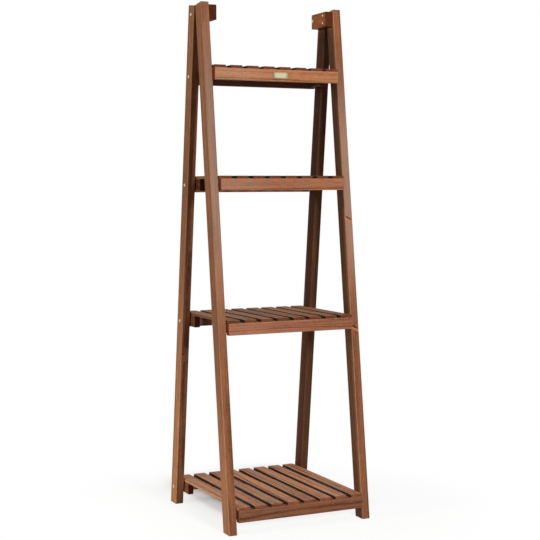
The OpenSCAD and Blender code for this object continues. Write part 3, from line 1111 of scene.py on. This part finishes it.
class PLANTSTAND_OT_plate(bpy.types.Operator):
    """Build the bare plate on the top front rail"""

    bl_idname = "plantstand.plate"
    bl_label = "Plate"

    def execute(self, context):
        node = "front_plate"
        metal = chosen("metal")
        steps = chosen("counts").plate_steps
        corner = metal.plate_corner
        low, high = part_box(node)
        left, right = low.x + corner, high.x - corner
        bottom, top = low.z + corner, high.z - corner
        shape = bmesh.new()
        outline = []
        for quarter, (x, z) in enumerate(((right, top), (left, top), (left, bottom), (right, bottom))):
            for step in range(steps + 1):
                turn = math.pi / 2 * (quarter + step / steps)
                place = (x + corner * math.cos(turn), high.y, z + corner * math.sin(turn))
                outline.append(shape.verts.new(place))
        face = shape.faces.new(outline)
        made = bmesh.ops.extrude_face_region(shape, geom=[face])
        front = [item for item in made["geom"] if isinstance(item, bmesh.types.BMVert)]
        bmesh.ops.translate(shape, verts=front, vec=(0, low.y - high.y, 0))
        bmesh.ops.recalc_face_normals(shape, faces=shape.faces)
        thing = from_shape("stand_front_plate", shape)
        bevelled(thing, metal.plate_edge, 3, limit_method="ANGLE", angle_limit=math.radians(60))
        shade(thing, WOOD_CREASE)
        dress(thing, BODY_OF[node], "plate_brass", brushed_plate(), node)
        return {"FINISHED"}


# Each lamp's place, the point that it is aimed at, its width and its height.
LAMPS = {
    "key_lamp": ((0, -5, 1.9), (0, 0, 0.7), 0.8, 0.8),
    "low_lamp": ((-0.8, 0, 0.05), (-0.2, 0, 0.15), 0.5, 0.3),
    "back_lamp": ((2.6, 2.6, 2.4), (0, 0, 0.5), 2.0, 1.2),
}
# The way that the even light from the left runs, and how far its rays spread.
SIDE_RUN, SIDE_SPREAD = Vector((1, 0, -0.14)), math.radians(3)
# Half the side of the floor, and the radius at which it starts to fade to white.
FLOOR_SIZE, FADE_START = 30, 0.36


class PLANTSTAND_OT_studio(bpy.types.Operator):
    """Set up the pale floor, the lamps, the world and the camera"""

    bl_idname = "plantstand.studio"
    bl_label = "Studio"

    def execute(self, context):
        studio = chosen("studio")
        self.floor(studio)
        self.world(context.scene, studio)
        for name, settings in LAMPS.items():
            self.lamp(name, getattr(studio, name.replace("lamp", "power")), *settings)
        self.side_light(studio)
        self.camera(context.scene, studio)
        context.scene.view_settings.view_transform = "Standard"
        return {"FINISHED"}

    def floor(self, studio):
        shape = bmesh.new()
        bmesh.ops.create_grid(shape, x_segments=1, y_segments=1, size=FLOOR_SIZE)
        thing = from_shape("studio_floor", shape)
        surface = Surface(bpy.data.materials.new("studio_floor_paint"))
        place = surface.place()
        darker = [channel * 0.97 for channel in studio.floor]
        paint = surface.mix(studio.floor, darker, surface.noise(place, (9, 9, 9), 3) * 0.6)
        # Painted shadow: the floor behind the lowest shelf and to its right takes the floor shade, as the
        # shelf keeps the light off there.
        x, y, _ = surface.parts(place)
        across = surface.step(x, -0.20, -0.04) * surface.step(x, 0.36, 0.25)
        along = surface.step(y, -0.12, 0.06) * surface.step(y, 0.62, 0.36)
        lit = 1 - across * along
        paint = surface.mix(studio.floor_shade, paint, lit)
        seen = surface.seen()
        paint = surface.mix(studio.floor_bounce, paint, seen)
        diffuse = surface.node("BsdfDiffuse", {"Color": paint, "Roughness": 0.5})
        white = surface.node("Emission", {"Color": (1, 1, 1), "Strength": 1.0})
        far = surface.step(surface.length_of(place), FADE_START, studio.floor_reach)
        faded = lit * (0.84 + 0.16 * far)
        mixed = surface.node("MixShader", {0: seen * faded, 1: diffuse, 2: white})
        thing.data.materials.append(surface.finish(mixed))

    def world(self, scene, studio):
        """White where it is seen, and dimmer as a light."""
        surface = Surface(bpy.data.worlds.new("studio_world"))
        light = {"Color": (1, 1, 1), "Strength": studio.ambient}
        ambient = surface.node("Background", light)
        white = surface.node("Background", {"Color": (1, 1, 1), "Strength": 1.0})
        mixed = surface.node("MixShader", {0: surface.seen(), 1: ambient, 2: white})
        scene.world = surface.finish(mixed, "OutputWorld")

    def lamp(self, name, strength, place, target, width, height):
        lamp = bpy.data.lights.new(name, "AREA")
        lamp.shape = "RECTANGLE"
        lamp.size, lamp.size_y = width, height
        lamp.energy = strength
        thing = new_object(name, lamp)
        thing.location = place
        aim = Vector(target) - Vector(place)
        thing.rotation_euler = aim.to_track_quat("-Z", "Y").to_euler()
        thing.visible_camera = False
        thing.visible_glossy = False

    def side_light(self, studio):
        """Even light from the left. The left legs keep it off the inner faces of the right ones."""
        light = bpy.data.lights.new("side_light", "SUN")
        light.energy = studio.side_strength
        light.color = studio.side_tint
        light.angle = SIDE_SPREAD
        thing = new_object("side_light", light)
        thing.rotation_euler = SIDE_RUN.to_track_quat("-Z", "Y").to_euler()
        thing.visible_glossy = False

    def camera(self, scene, studio):
        camera = bpy.data.cameras.new("studio_camera")
        camera.lens = studio.camera_lens
        camera.sensor_fit = "HORIZONTAL"
        thing = new_object("studio_camera", camera)
        place = Matrix.Translation((studio.camera_x, studio.camera_y, studio.camera_z))
        yaw = Matrix.Rotation(-studio.camera_yaw, 4, "Z")
        pitch = Matrix.Rotation(math.pi / 2 - studio.camera_pitch, 4, "X")
        roll = Matrix.Rotation(studio.camera_roll, 4, "Z")
        thing.matrix_world = place @ yaw @ pitch @ roll
        scene.camera = thing


class PLANTSTAND_PT_sidebar(bpy.types.Panel):
    """Lists the settings and the pieces of the plant ladder stand"""

    bl_label = "Plant Stand"
    bl_space_type = "VIEW_3D"
    bl_region_type = "UI"
    bl_category = "Plant Stand"

    def draw(self, context):
        for group in GROUPS:
            box = self.layout.box()
            settings = getattr(context.scene, group)
            box.label(text=settings.__doc__)
            for name in settings.__annotations__:
                box.prop(settings, name)
        for operator in OPERATORS:
            self.layout.operator(operator.bl_idname)


GROUPS = {
    "plant_stand_timber": PlantStandTimber,
    "plant_stand_metal": PlantStandMetal,
    "plant_stand_studio": PlantStandStudio,
    "plant_stand_counts": PlantStandCounts,
}
OPERATORS = (
    PLANTSTAND_OT_legs,
    PLANTSTAND_OT_blocks,
    PLANTSTAND_OT_crossbars,
    PLANTSTAND_OT_rails,
    PLANTSTAND_OT_slats,
    PLANTSTAND_OT_fixings,
    PLANTSTAND_OT_plate,
    PLANTSTAND_OT_studio,
)


def register():
    for name, group in GROUPS.items():
        bpy.utils.register_class(group)
        setattr(bpy.types.Scene, name, PointerProperty(type=group))
    for each in (*OPERATORS, PLANTSTAND_PT_sidebar):
        bpy.utils.register_class(each)


def unregister():
    for each in (PLANTSTAND_PT_sidebar, *reversed(OPERATORS)):
        bpy.utils.unregister_class(each)
    for name, group in reversed(GROUPS.items()):
        delattr(bpy.types.Scene, name)
        bpy.utils.unregister_class(group)


def main():
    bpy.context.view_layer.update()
    register()
    bpy.ops.plantstand.legs()
    bpy.ops.plantstand.blocks()
    bpy.ops.plantstand.crossbars()
    bpy.ops.plantstand.rails()
    bpy.ops.plantstand.slats()
    bpy.ops.plantstand.fixings()
    bpy.ops.plantstand.plate()
    bpy.ops.plantstand.studio()


if __name__ == "__main__":
    main()
